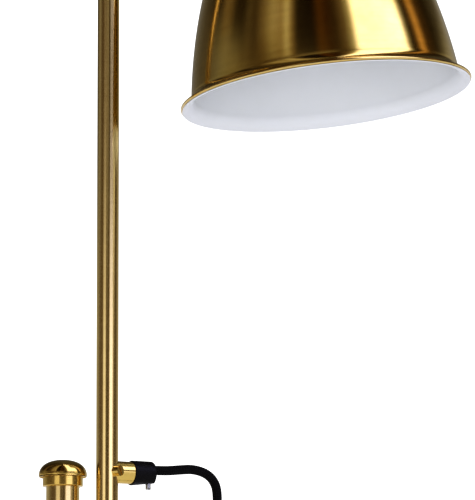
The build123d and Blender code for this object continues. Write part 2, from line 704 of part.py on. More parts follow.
def head_spindle():
    """The plug in the mast's top, its flange and the spindle that the head turns on."""
    spindle = upright(MAST_BORE_R, MAST_TOP - SPINDLE_PLUG, MAST_TOP, MAST_OFFSET)
    spindle += upright(SPINDLE_FLANGE_R, MAST_TOP, SPINDLE_SEAT, MAST_OFFSET)
    spindle += upright(SPINDLE_R, SPINDLE_SEAT, HEAD_LOW + SPINDLE_TOP, MAST_OFFSET)
    return spindle - upright(SPINDLE_BORE_R, MAST_TOP - SPINDLE_PLUG, HEAD_LOW + SPINDLE_TOP, MAST_OFFSET)


def spindle_washer():
    return upright_tube(SPINDLE_FLANGE_R, SPINDLE_R, SPINDLE_SEAT, SPINDLE_SEAT + WAVE_WASHER_T, MAST_OFFSET)


def spindle_nut():
    low = HEAD_LOW + HEAD_FLOOR + SIDE_GAP
    nut = Pos(MAST_OFFSET, 0, 0) * hexagon(SPINDLE_NUT_FLATS, low, low + SPINDLE_NUT_H)
    return nut - upright(SPINDLE_R, low, low + SPINDLE_NUT_H, MAST_OFFSET)


# Arm

def head_body():
    head = upright(HEAD_R, HEAD_LOW, HEAD_TOP, MAST_OFFSET)
    head = chamfer(head.edges().filter_by(GeomType.CIRCLE), EDGE_CHAMFER)
    head += Pos(MAST_OFFSET, 0, ARM_Z) * along_x(HEAD_BOSS_R, HEAD_CAVITY_R + 1, HEAD_BOSS_END)
    head -= upright(HEAD_CAVITY_R, HEAD_LOW + HEAD_FLOOR, HEAD_TOP, MAST_OFFSET)
    head -= upright(SPINDLE_R + RUN_GAP, HEAD_LOW, HEAD_TOP, MAST_OFFSET)
    head -= Pos(MAST_OFFSET, 0, ARM_Z) * along_x(ARM_R, 0, HEAD_BOSS_END)
    return head - Pos(MAST_OFFSET + HEAD_BOSS_END - HEAD_SCREW_BACK, 0, ARM_Z) * upright(PORT_SCREW_R, 0, HEAD_BOSS_R + 1)


def head_cap():
    """The head's lid, with a low dome, a ball on top and a spigot in the head's hollow."""
    outline = [(0, HEAD_TOP - HEAD_CAP_SPIGOT), (HEAD_CAVITY_R, HEAD_TOP - HEAD_CAP_SPIGOT),
               (HEAD_CAVITY_R, HEAD_TOP), (HEAD_R, HEAD_TOP), (HEAD_R, HEAD_TOP + 2),
               (FINIAL_R, HEAD_TOP + HEAD_CAP_H), (0, HEAD_TOP + HEAD_CAP_H)]
    lid = turned(outline, [0, 0, 0, 0.4, 2.5, 1, 0])
    ball = Pos(0, 0, HEAD_TOP + HEAD_CAP_H + 0.6 * FINIAL_R) * Sphere(FINIAL_R)
    return Pos(MAST_OFFSET, 0, 0) * (lid + ball)


def arm_tube():
    far = ARM_REACH - CLEVIS_FAR + CLEVIS_SOCKET
    near = HEAD_CAVITY_R + 0.3
    return Pos(MAST_OFFSET, 0, ARM_Z) * (along_x(ARM_R, near, far) - along_x(ARM_R - ARM_T, near, far))


def arm_set_screw():
    return Pos(MAST_OFFSET + HEAD_BOSS_END - HEAD_SCREW_BACK, 0, ARM_Z) * grub(PORT_SCREW_R, ARM_R, HEAD_BOSS_R - 0.2)


def arm_inner_flex():
    """The wiring from the swivel's axis, round into the arm and along it to the clevis."""
    low = (MAST_OFFSET, 0, HEAD_LOW + SPINDLE_TOP)
    far = (PIVOT_X - CLEVIS_FAR + CLEVIS_SOCKET, 0, ARM_Z)
    bend = HEAD_BELOW - SPINDLE_TOP - 0.2
    return tube_on_route(FLEX_R, [low, (MAST_OFFSET, 0, ARM_Z), far], [bend])[0]


def arm_clevis():
    """The socket on the arm's end and the two ears that hold the knuckle."""
    socket = along_x(CLEVIS_R, -CLEVIS_FAR, -CLEVIS_NEAR)
    socket = chamfer(socket.faces().sort_by(Axis.X)[0].edges(), EDGE_CHAMFER)
    socket -= along_x(ARM_R, -CLEVIS_FAR, -CLEVIS_FAR + CLEVIS_SOCKET)
    blank = along_y(EAR_R, -EAR_FAR, EAR_FAR)
    blank += Box(CLEVIS_NEAR + 2, 2 * EAR_FAR, 2 * CLEVIS_R - 1.4, align=(Align.MAX, Align.CENTER, Align.CENTER))
    blank -= Box(2 * CLEVIS_NEAR, 2 * EAR_NEAR, 4 * EAR_R)
    blank -= along_y(BOLT_R, -EAR_FAR, EAR_FAR)
    return PIVOT * (socket + blank)


def tilt_bolt():
    """The pivot bolt, with its head behind and its threaded end in the front knob."""
    head = along_y(BOLT_HEAD_R, EAR_FAR, EAR_FAR + BOLT_HEAD_T)
    return PIVOT * (head + along_y(BOLT_R, -WASHER_FAR - SIDE_GAP - BOLT_IN_KNOB, EAR_FAR))


def tilt_washer():
    washer = along_y(TILT_WASHER_R, -WASHER_FAR, -EAR_FAR) - along_y(BOLT_R, -WASHER_FAR, -EAR_FAR)
    return PIVOT * washer


def tilt_knob():
    knob = fluted_knob(TILT_KNOB_R, TILT_KNOB_T, KNOB_HUB_R, KNOB_HUB_T)
    knob -= upright(BOLT_R + RUN_GAP, 0, BOLT_IN_KNOB + SIDE_GAP)
    return facing_front(PIVOT_X, ARM_Z) * Pos(0, 0, WASHER_FAR + SIDE_GAP) * knob


# Shade

def knuckle_tongue():
    """The tongue between the ears, its stem, its round base on the cup and the stud through the cup."""
    tongue = Pos(0, 0, PIVOT_H) * along_y(TONGUE_R, -TONGUE_T / 2, TONGUE_T / 2)
    base_top = CUP_TOP + TONGUE_BASE_T
    tongue += Pos(0, 0, base_top) * Box(TONGUE_STEM_W, TONGUE_T, PIVOT_H - base_top, align=ON_BASE)
    tongue += upright(TONGUE_BASE_R, CUP_TOP, base_top)
    tongue += upright(STUD_R, CUP_TOP - STUD_L, CUP_TOP)
    return SHADE * (tongue - Pos(0, 0, PIVOT_H) * along_y(BOLT_R + RUN_GAP, -TONGUE_T, TONGUE_T))


def tongue_nut():
    nut = hexagon(STUD_NUT_FLATS, CUP_UNDER - STUD_NUT_H, CUP_UNDER)
    return SHADE * (nut - upright(STUD_R, CUP_UNDER - STUD_NUT_H, CUP_UNDER))


def socket_cup():
    """The spun cup over the lamp holder, with a foot on the shade and a hole for the switch's shaft."""
    inner = CUP_R - CUP_T
    outline = [(inner, SHADE_DEPTH), (CUP_FOOT_R, SHADE_DEPTH), (CUP_FOOT_R, SHADE_DEPTH + CUP_FOOT_T),
               (CUP_R, SHADE_DEPTH + CUP_FOOT_T), (CUP_R, CUP_TOP), (STUD_R, CUP_TOP), (STUD_R, CUP_UNDER),
               (inner, CUP_UNDER)]
    cup = turned(outline, [0, 0, 0.6, 0.6, CUP_ROUND, 0, 0, CUP_ROUND - CUP_T])
    return SHADE * (cup - Pos(0, 0, SWITCH_Z) * along_x(SWITCH_HOLE_R, 0, CUP_R + 1))


def bell_wall(inset, top):
    """One face of the bell, from the flare up to the flat neck: two tangent arcs, set in by a wall."""
    lower = ThreePointArc((FLARE_R - inset, FLARE_H), (WAIST_R - inset, WAIST_H), (SHOULDER_R - inset, SHOULDER_H))
    upper = TangentArc(lower @ 1, (NECK_R - inset, top), tangent=lower % 1)
    return [lower, upper]


def flare(inset, end):
    """One face of the flared lip, from the bead up to the foot of the bell."""
    return TangentArc((FLARE_R - inset, FLARE_H), (RIM_R - BEAD_R, end), tangent=(0, -1))


def shade_shell():
    """The spun shade: bell, flared lip and a rolled bead on the rim."""
    hole = HOLDER_R
    outer = bell_wall(0, SHADE_DEPTH)
    inner = bell_wall(SHADE_T, SHELL_UNDER)
    neck = Polyline(outer[1] @ 1, (hole, SHADE_DEPTH), (hole, SHELL_UNDER), inner[1] @ 1)
    outer_flare = flare(0, BEAD_H + BEAD_SINK)
    inner_flare = flare(SHADE_T, BEAD_H - BEAD_SINK)
    lip = Line(outer_flare @ 1, inner_flare @ 1)
    wall = make_face([*outer, *neck.edges(), *inner, outer_flare, inner_flare, lip])
    bead = Pos(RIM_R - BEAD_R, BEAD_H) * Circle(BEAD_R)
    return SHADE * revolve(Plane.XZ * (wall + bead), Axis.Z)


def shade_lining():
    """The white reflector inside the bell and its lip, held at the neck by the lamp holder's ring."""
    outer = bell_wall(SHADE_T + LINING_GAP, SHELL_UNDER)
    inner = bell_wall(SHADE_T + LINING_GAP + LINING_T, LINING_UNDER)
    neck = Polyline(outer[1] @ 1, (HOLDER_R, SHELL_UNDER), (HOLDER_R, LINING_UNDER), inner[1] @ 1)
    outer_flare = flare(SHADE_T + LINING_GAP, LINING_T)
    inner_flare = flare(SHADE_T + LINING_GAP + LINING_T, 0)
    lip = Line(outer_flare @ 1, inner_flare @ 1)
    faces = [*outer, *neck.edges(), *inner, outer_flare, inner_flare, lip]
    return SHADE * revolve(Plane.XZ * make_face(faces), Axis.Z)


def lamp_holder():
    outline = [(HOLDER_BORE_R, HOLDER_LOW), (HOLDER_R, HOLDER_LOW), (HOLDER_R, HOLDER_NECK),
               (HOLDER_BODY_R, HOLDER_NECK), (HOLDER_BODY_R, HOLDER_TOP), (0, HOLDER_TOP), (0, HOLDER_BORE_TOP),
               (HOLDER_BORE_R, HOLDER_BORE_TOP)]
    return SHADE * turned(outline)


def holder_ring():
    return SHADE * upright_tube(RING_R, HOLDER_R, LINING_UNDER - RING_H, LINING_UNDER)


def switch_body():
    block = Pos(0, 0, HOLDER_TOP) * Box(SWITCH_L, SWITCH_W, SWITCH_H, align=ON_BASE)
    return SHADE * (block - Pos(0, 0, SWITCH_Z) * along_x(SWITCH_SHAFT_R + RUN_GAP, SWITCH_SHAFT_FROM, SWITCH_L))


def switch_knob():
    """The knob on the cup's outer side, with the shaft that turns the switch."""
    shaft = along_x(SWITCH_SHAFT_R, SWITCH_SHAFT_FROM + SIDE_GAP, CUP_R + SWITCH_KNOB_GAP)
    knob = Rot(0, 90, 0) * fluted_knob(SWITCH_KNOB_R, SWITCH_KNOB_T, SWITCH_HUB_R, SWITCH_HUB_T)
    return SHADE * Pos(0, 0, SWITCH_Z) * (shaft + Pos(CUP_R + SWITCH_KNOB_GAP, 0, 0) * knob)


def bulb_side(wall):
    """One face of the glass: a ball, a straight tangent and a neck, set in by a wall."""
    centre = BULB_LOW + BULB_R
    ball = BULB_R - wall
    leave = radians(38)
    top = (ball * cos(leave), centre + ball * sin(leave))
    middle = (ball * cos(leave / 2 - radians(45)), centre + ball * sin(leave / 2 - radians(45)))
    sphere = ThreePointArc((0, centre - ball), middle, top)
    neck_r = BULB_NECK_R - wall
    corner = (neck_r, top[1] + (top[0] - neck_r) / tan(leave))
    return [sphere, Polyline(top, corner, (neck_r, BULB_NECK_TOP))]


def bulb_glass():
    outer = bulb_side(0)
    inner = bulb_side(BULB_T)
    rest = [Line(outer[1] @ 1, inner[1] @ 1), Line(outer[0] @ 0, inner[0] @ 0)]
    edges = [outer[0], *outer[1].edges(), inner[0], *inner[1].edges(), *rest]
    return SHADE * revolve(Plane.XZ * make_face(edges), Axis.Z)


def bulb_cap():
    outline = [(BULB_NECK_R, BULB_CAP_LOW), (BULB_CAP_R, BULB_CAP_LOW), (BULB_CAP_R, BULB_CAP_TOP),
               (CONTACT_R, BULB_CAP_TOP + 1.5), (CONTACT_R, HOLDER_BORE_TOP), (0, HOLDER_BORE_TOP),
               (0, BULB_CAP_TOP - BULB_CAP_T), (BULB_NECK_R, BULB_CAP_TOP - BULB_CAP_T)]
    return SHADE * turned(outline)


NODES = {
    "floor_pad": floor_pad,
    "base_weight": base_weight,
    "base_cover": base_cover,
    "mains_bush": mains_bush,
    "terminal_block": terminal_block,
    "base_nipple": base_nipple,
    "base_washer": base_washer,
    "base_nut": base_nut,
    "column_foot": column_foot,
    "column_plug": column_plug,
    "column_tube": column_tube,
    "column_cap": column_cap,
    "column_inner_flex": column_inner_flex,
    "bracket_body": bracket_body,
    "bracket_grub_screw": bracket_grub_screw,
    "bracket_liner": bracket_liner,
    "clamp_pad": clamp_pad,
    "mast_clamp_screw": mast_clamp_screw,
    "mast_clamp_knob": mast_clamp_knob,
    "inlet_boss": inlet_boss,
    "inlet_screw": lambda: INLET_SCREW * grub(PORT_SCREW_R, PORT_BORE_R, BOSS_R + PORT_SCREW_OUT),
    "inlet_grip": lambda: INLET * port_grip(INLET_BOSS_END),
    "inlet_grip_screw": lambda: INLET * port_grip_screw(INLET_BOSS_END),
    "loop_cord": loop_cord,
    "mast_tube": mast_tube,
    "mast_stop_collar": mast_stop_collar,
    "stop_collar_screw": stop_collar_screw,
    "guide_body": guide_body,
    "guide_liner": guide_liner,
    "guide_screw": guide_screw,
    "mast_end_plug": mast_end_plug,
    "outlet_boss": outlet_boss,
    "outlet_screw": outlet_screw,
    "outlet_grip": lambda: OUTLET * port_grip(OUTLET_BOSS_END),
    "outlet_grip_screw": lambda: OUTLET * port_grip_screw(OUTLET_BOSS_END),
    "mast_inner_flex": mast_inner_flex,
    "head_spindle": head_spindle,
    "spindle_washer": spindle_washer,
    "spindle_nut": spindle_nut,
    "head_body": head_body,
    "head_cap": head_cap,
    "arm_tube": arm_tube,
    "arm_set_screw": arm_set_screw,
    "arm_clevis": arm_clevis,
    "arm_inner_flex": arm_inner_flex,
    "tilt_bolt": tilt_bolt,
    "tilt_washer": tilt_washer,
    "tilt_knob": tilt_knob,
    "knuckle_tongue": knuckle_tongue,
    "tongue_nut": tongue_nut,
    "socket_cup": socket_cup,
    "shade_shell": shade_shell,
    "shade_lining": shade_lining,
    "lamp_holder": lamp_holder,
    "holder_ring": holder_ring,
    "switch_body": switch_body,
    "switch_knob": switch_knob,
    "bulb_glass": bulb_glass,
    "bulb_cap": bulb_cap,
}

os.makedirs("parts", exist_ok=True)
for node, make in NODES.items():
    export_step(make(), f"parts/{node}.step")
print(len(NODES), "nodes written")
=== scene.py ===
"""Looks of the pharmacy floor lamp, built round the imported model.

All sizes are in metres, in the lamp's own frame: +Z up, the mast and the shade towards +X, the
front towards -Y. Turned parts are outlines carried round an axis, worked out as whole arrays.
"""
import json
import math

import bpy
import numpy as np
from mathutils import Matrix, Vector


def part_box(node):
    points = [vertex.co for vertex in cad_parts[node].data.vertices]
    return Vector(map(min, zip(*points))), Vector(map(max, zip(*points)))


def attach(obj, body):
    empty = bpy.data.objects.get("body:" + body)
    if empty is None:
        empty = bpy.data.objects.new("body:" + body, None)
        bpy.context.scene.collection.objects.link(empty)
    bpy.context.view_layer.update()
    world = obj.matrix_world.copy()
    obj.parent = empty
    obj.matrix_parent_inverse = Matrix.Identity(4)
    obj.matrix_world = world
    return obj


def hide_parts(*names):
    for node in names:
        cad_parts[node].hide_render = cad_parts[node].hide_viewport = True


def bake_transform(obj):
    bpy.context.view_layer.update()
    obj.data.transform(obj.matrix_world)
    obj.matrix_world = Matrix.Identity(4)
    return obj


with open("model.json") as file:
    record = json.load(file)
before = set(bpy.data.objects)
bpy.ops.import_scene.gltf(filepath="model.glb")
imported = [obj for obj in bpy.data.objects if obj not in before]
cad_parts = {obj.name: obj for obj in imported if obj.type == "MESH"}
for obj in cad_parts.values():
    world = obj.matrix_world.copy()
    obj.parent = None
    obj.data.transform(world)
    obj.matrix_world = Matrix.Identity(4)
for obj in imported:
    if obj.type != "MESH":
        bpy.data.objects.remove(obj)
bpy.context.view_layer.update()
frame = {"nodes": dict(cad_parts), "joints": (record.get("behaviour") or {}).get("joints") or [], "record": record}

MM = 0.001
JOINTS = {joint["name"]: joint for joint in frame["joints"]}


# ---------------------------------------------------------------- places read from the frame

def middle(node):
    low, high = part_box(node)
    return (low + high) / 2


def extent(node):
    low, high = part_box(node)
    return high - low


MAST = middle("mast_tube")
MAST_R = extent("mast_end_plug").x / 2
COLUMN_R = extent("column_tube").x / 2
PIVOT = Vector(JOINTS["shade_tilt"]["pos_m"])
LEAN = Vector(JOINTS["switch_turn"]["axis"])  # across the shade's axis, in the plane of the arm
TILT = math.atan2(LEAN.z, LEAN.x)
PIVOT_H = 178 * MM  # from the rim's plane up to the pivot, along the shade's axis
SHADE_AXIS = (Matrix.Translation(PIVOT) @ Matrix.Rotation(-TILT, 4, "Y")
              @ Matrix.Translation((0, 0, -PIVOT_H)))
PORT_TURN = math.radians(30)
INLET_TURN = math.radians(60)
GRIP_L = 13.6 * MM
OUTLET_END = 15.3 * MM  # from the mast's axis out to its grip
INLET_END = 22 * MM  # from the column's axis out to its grip
OUTLET_Z = middle("outlet_grip").z
INLET_Z = middle("inlet_grip").z


def port_place(x, z, turn):
    """A place whose own Z runs out along a cord port, with its own X pointing down."""
    return (Matrix.Translation((x, 0, z)) @ Matrix.Rotation(turn, 4, "Z")
            @ Matrix.Rotation(math.pi / 2, 4, "Y"))


OUTLET = port_place(MAST.x, OUTLET_Z, PORT_TURN)
INLET = port_place(0, INLET_Z, INLET_TURN)


# ---------------------------------------------------------------- camera

AIM = Vector((MAST.x + 75.1 * MM, 0, OUTLET_Z + 128.4 * MM))  # what the picture's middle shows
CAMERA_DISTANCE = 1.75
CAMERA_HEIGHT = 0.70
CAMERA_ROLL = math.radians(-0.25)
FRAME_HEIGHT = 289.5 * MM  # what the picture's long side spans at the lamp


def add_camera():
    """A camera low in front of the lamp that looks up a little at the mast's middle."""
    data = bpy.data.cameras.new("camera")
    rise = AIM.z - CAMERA_HEIGHT
    data.sensor_width = 36
    data.lens = data.sensor_width * math.hypot(CAMERA_DISTANCE, rise) / FRAME_HEIGHT
    data.clip_start = 0.1
    data.clip_end = 60
    camera = bpy.data.objects.new("camera", data)
    bpy.context.scene.collection.objects.link(camera)
    look_up = math.pi / 2 + math.atan2(rise, CAMERA_DISTANCE)
    camera.matrix_world = Matrix.Translation(AIM + Vector((0, -CAMERA_DISTANCE, -rise))) \
        @ Matrix.Rotation(look_up, 4, "X") @ Matrix.Rotation(CAMERA_ROLL, 4, "Z")
    bpy.context.scene.camera = camera


# ---------------------------------------------------------------- surfaces

def link(name, mesh, place=None):
    """A new piece at the origin, with its place in its mesh."""
    if place is not None:
        mesh.transform(place)
    piece = bpy.data.objects.new(name, mesh)
    bpy.context.scene.collection.objects.link(piece)
    mesh.shade_smooth()
    return piece


ARC_STEP = 9.0  # degrees between the points of a rounded corner
TIGHT_CORNER = 4 * MM  # outer corners rounder than this don't wear bright


def rounded(points, rounds):
    """A closed outline whose corners are arcs: each arc is tangent to both sides and sampled every few
    degrees. Returns the points and, for each, how much edge wear it gets (1 on a tight outer corner)."""
    corners = [np.array(point, float) for point in points]
    out = []
    wear = []
    for index, corner in enumerate(corners):
        before = corners[index - 1] - corner
        after = corners[(index + 1) % len(corners)] - corner
        radius = rounds[index]
        shorter = min(np.linalg.norm(before), np.linalg.norm(after))
        before = before / np.linalg.norm(before)
        after = after / np.linalg.norm(after)
        opening = math.acos(max(-1.0, min(1.0, float(before @ after))))
        if radius <= 0 or opening > math.pi - 1e-3:
            out.append(corner)
            wear.append(0.0)
            continue
        reach = min(radius / math.tan(opening / 2), 0.49 * shorter)
        radius = reach * math.tan(opening / 2)
        centre = corner + (before + after) / np.linalg.norm(before + after) * radius / math.sin(opening / 2)
        start = corner + before * reach - centre
        turn = math.pi - opening
        sign = 1.0 if before[0] * after[1] - before[1] * after[0] < 0 else -1.0
        count = max(2, int(math.degrees(turn) / ARC_STEP) + 1)
        angle = np.linspace(0, turn, count + 1) * sign
        ring = np.stack([start[0] * np.cos(angle) - start[1] * np.sin(angle),
                         start[0] * np.sin(angle) + start[1] * np.cos(angle)], 1) + centre
        out.extend(ring)
        wear.extend([1.0 if sign > 0 and radius < TIGHT_CORNER else 0.0] * len(ring))
    return np.array(out), np.array(wear)


def counter_clockwise(outline, wear):
    """The outline in the order that turns every face outwards."""
    x, y = outline[:, 0], outline[:, 1]
    area = np.sum(x * np.roll(y, -1) - np.roll(x, -1) * y)
    return (outline, wear) if area > 0 else (outline[::-1], wear[::-1])


def turned_mesh(name, outline, wear, around):
    """A closed (radius, height) outline carried round Z: x = r cos a, y = r sin a. Points on the axis
    become single poles. The UV map holds metres: round the axis at the outline's largest radius, and
    along the outline."""
    outline, wear = counter_clockwise(outline, wear)
    on_axis = outline[:, 0] < 1e-7
    count = len(outline)
    angle = np.arange(around) * (2 * math.pi / around)
    radius = outline[:, :1]
    grid = np.stack([radius * np.cos(angle), radius * np.sin(angle),
                     np.repeat(outline[:, 1:], around, 1)], 2)
    start = np.where(on_axis, 1, around).cumsum() - np.where(on_axis, 1, around)
    verts = np.concatenate([grid[i, :1] if on_axis[i] else grid[i] for i in range(count)])
    worn = np.concatenate([np.full(1 if on_axis[i] else around, wear[i]) for i in range(count)])
    along = np.concatenate([[0], np.linalg.norm(np.roll(outline, -1, 0) - outline, axis=1).cumsum()])
    wide = outline[:, 0].max() * 2 * math.pi / around
    here = np.arange(around)
    ahead = (here + 1) % around
    faces = []
    uvs = []
    for i in range(count):
        j = (i + 1) % count
        if on_axis[i] and on_axis[j]:
            continue
        low, high = np.full(around, along[i]), np.full(around, along[i + 1])
        left, right = here * wide, (here + 1) * wide
        if on_axis[i]:
            faces.append(np.stack([np.full(around, start[i]), start[j] + ahead, start[j] + here], 1))
            uvs.append(np.stack([(left + right) / 2, low, right, high, left, high], 1))
        elif on_axis[j]:
            faces.append(np.stack([start[i] + here, start[i] + ahead, np.full(around, start[j])], 1))
            uvs.append(np.stack([left, low, right, low, (left + right) / 2, high], 1))
        else:
            faces.append(np.stack([start[i] + here, start[i] + ahead, start[j] + ahead, start[j] + here], 1))
            uvs.append(np.stack([left, low, right, low, right, high, left, high], 1))
    mesh = bpy.data.meshes.new(name)
    mesh.from_pydata(verts.tolist(), [], [face for block in faces for face in block.tolist()])
    mesh.uv_layers.new(name="turned").data.foreach_set("uv", np.concatenate([u.ravel() for u in uvs]))
    mesh.attributes.new("edge_wear", "FLOAT", "POINT").data.foreach_set("value", worn.astype(np.float32))
    return mesh


def turned(name, body, points, rounds, place, finish, replaces, around, cut=None):
    """A turned piece from an outline in millimetres, set in place and riding on its body. cut is a
    function that moves the vertices, in the piece's own place, before it is set there."""
    outline, wear = rounded(np.array(points, float) * MM, np.array(rounds, float) * MM)
    mesh = turned_mesh(name, outline, wear, around)
    if cut:
        verts = np.zeros(len(mesh.vertices) * 3)
        mesh.vertices.foreach_get("co", verts)
        mesh.vertices.foreach_set("co", cut(verts.reshape(-1, 3)).ravel())
    piece = link(name, mesh, place)
    piece.data.materials.append(finish)
    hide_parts(replaces)
    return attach(piece, body)


def ring_points(inner, outer, low, high):
    return [(inner, low), (outer, low), (outer, high), (inner, high)]


# ---------------------------------------------------------------- finishes

def shader(name, **values):
    """A new material with a Principled shader, its fixed values set on the shader itself."""
    material = bpy.data.materials.new(name)
    material.use_nodes = True
    nodes = material.node_tree.nodes
    surface = nodes["Principled BSDF"]
    for key, value in values.items():
        surface.inputs[key.replace("_", " ")].default_value = value
    return material, nodes, material.node_tree.links, surface


def node(nodes, kind, **settings):
    made = nodes.new(kind)
    for key, value in settings.items():
        if hasattr(made, key):
            setattr(made, key, value)
        else:
            made.inputs[key.replace("_", " ")].default_value = value
    return made


def ramp(nodes, stops):
    made = nodes.new("ShaderNodeValToRGB")
    elements = made.color_ramp.elements
    while len(elements) > 1:
        elements.remove(elements[-1])
    elements[0].position, elements[0].color = stops[0][0], (*stops[0][1], 1)
    for position, colour in stops[1:]:
        elements.new(position).color = (*colour, 1)
    return made


def brass_finish(name, on_uv, brush=1.0):
    """Brushed antique brass under a thin lacquer: fine lines round the part, a browner patina in soft
    patches, and brighter metal where the edges rub. The lines follow the turned UV map, or the height
    on a part that has none."""
    material, nodes, links, surface = shader(
        name, Metallic=1.0, Anisotropic=0.8 if on_uv else 0.0, Anisotropic_Rotation=0.25, Coat_Weight=0.04,
        Coat_Roughness=0.1)
    place = node(nodes, "ShaderNodeTexCoord")
    source = place.outputs["UV" if on_uv else "Object"]
    stretch = node(nodes, "ShaderNodeMapping")
    stretch.inputs["Scale"].default_value = (6, 3200, 1) if on_uv else (60, 60, 3200)
    links.new(source, stretch.inputs["Vector"])
    lines = node(nodes, "ShaderNodeTexNoise", Scale=1.0, Detail=3.0, Roughness=0.7)
    links.new(stretch.outputs[0], lines.inputs["Vector"])
    broad = node(nodes, "ShaderNodeMapping")
    broad.inputs["Scale"].default_value = (14, 420, 1) if on_uv else (40, 40, 420)
    links.new(source, broad.inputs["Vector"])
    bands = node(nodes, "ShaderNodeTexNoise", Scale=1.0, Detail=2.0)
    links.new(broad.outputs[0], bands.inputs["Vector"])
    patches = node(nodes, "ShaderNodeTexNoise", Scale=38.0, Detail=5.0, Roughness=0.6)
    links.new(place.outputs["Object"], patches.inputs["Vector"])
    patina = ramp(nodes, [(0.30, (0.73, 0.505, 0.14)), (0.5, (0.79, 0.575, 0.175)),
                          (0.72, (0.84, 0.625, 0.215))])
    links.new(patches.outputs["Fac"], patina.inputs["Fac"])
    lined = node(nodes, "ShaderNodeMix", data_type="RGBA", blend_type="MULTIPLY")
    lined.inputs["Factor"].default_value = 0.2 * brush
    links.new(patina.outputs["Color"], lined.inputs["A"])
    links.new(bands.outputs["Fac"], lined.inputs["B"])
    rub = node(nodes, "ShaderNodeAttribute", attribute_name="edge_wear")
    rub_amount = node(nodes, "ShaderNodeMath", operation="MULTIPLY")
    rub_amount.inputs[1].default_value = 0.5
    links.new(rub.outputs["Fac"], rub_amount.inputs[0])
    worn = node(nodes, "ShaderNodeMix", data_type="RGBA")
    worn.inputs["B"].default_value = (0.90, 0.72, 0.38, 1)
    links.new(rub_amount.outputs[0], worn.inputs["Factor"])
    links.new(lined.outputs["Result"], worn.inputs["A"])
    links.new(worn.outputs["Result"], surface.inputs["Base Color"])
    rough = node(nodes, "ShaderNodeMapRange")
    rough.inputs["To Min"].default_value = 0.11
    rough.inputs["To Max"].default_value = 0.17
    links.new(lines.outputs["Fac"], rough.inputs["Value"])
    links.new(rough.outputs["Result"], surface.inputs["Roughness"])
    bump = node(nodes, "ShaderNodeBump", Strength=0.10 * brush, Distance=0.00006)
    links.new(lines.outputs["Fac"], bump.inputs["Height"])
    links.new(bump.outputs[0], surface.inputs["Normal"])
    if on_uv:
        tangent = node(nodes, "ShaderNodeTangent", direction_type="UV_MAP", uv_map="turned")
        links.new(tangent.outputs[0], surface.inputs["Tangent"])
    return material


def enamel_finish():
    """Satin white enamel on spun metal: faint rings from the spinning, orange peel and a little warmth
    of dust in soft patches."""
    material, nodes, links, surface = shader(
        "white_enamel", Roughness=0.38, Coat_Weight=0.15, Coat_Roughness=0.2)
    place = node(nodes, "ShaderNodeTexCoord")
    patches = node(nodes, "ShaderNodeTexNoise", Scale=22.0, Detail=4.0)
    links.new(place.outputs["Object"], patches.inputs["Vector"])
    colour = ramp(nodes, [(0.3, (0.765, 0.775, 0.77)), (0.7, (0.805, 0.815, 0.81))])
    links.new(patches.outputs["Fac"], colour.inputs["Fac"])
    links.new(colour.outputs["Color"], surface.inputs["Base Color"])
    stretch = node(nodes, "ShaderNodeMapping")
    stretch.inputs["Scale"].default_value = (3, 420, 1)
    links.new(place.outputs["UV"], stretch.inputs["Vector"])
    rings = node(nodes, "ShaderNodeTexNoise", Scale=1.0, Detail=1.0)
    links.new(stretch.outputs[0], rings.inputs["Vector"])
    peel = node(nodes, "ShaderNodeTexNoise", Scale=900.0, Detail=2.0)
    links.new(place.outputs["Object"], peel.inputs["Vector"])
    both = node(nodes, "ShaderNodeMath", operation="MULTIPLY_ADD")
    both.inputs[1].default_value = 0.35
    links.new(peel.outputs["Fac"], both.inputs[0])
    links.new(rings.outputs["Fac"], both.inputs[2])
    bump = node(nodes, "ShaderNodeBump", Strength=0.12, Distance=0.00012)
    links.new(both.outputs[0], bump.inputs["Height"])
    links.new(bump.outputs[0], surface.inputs["Normal"])
    return material


def speckled_finish(name, dark, light, scale, roughness, bump_depth, **values):
    """A plain finish with fine mottling: two close tones and a matching bump from one noise."""
    material, nodes, links, surface = shader(name, **values)
    place = node(nodes, "ShaderNodeTexCoord")
    noise = node(nodes, "ShaderNodeTexNoise", Scale=scale, Detail=4.0, Roughness=0.6)
    links.new(place.outputs["Object"], noise.inputs["Vector"])
    colour = ramp(nodes, [(0.35, dark), (0.65, light)])
    links.new(noise.outputs["Fac"], colour.inputs["Fac"])
    links.new(colour.outputs["Color"], surface.inputs["Base Color"])
    rough = node(nodes, "ShaderNodeMapRange")
    rough.inputs["To Min"].default_value = roughness[0]
    rough.inputs["To Max"].default_value = roughness[1]
    links.new(noise.outputs["Fac"], rough.inputs["Value"])
    links.new(rough.outputs["Result"], surface.inputs["Roughness"])
    bump = node(nodes, "ShaderNodeBump", Strength=0.25, Distance=bump_depth)
    links.new(noise.outputs["Fac"], bump.inputs["Height"])
    links.new(bump.outputs[0], surface.inputs["Normal"])
    return material


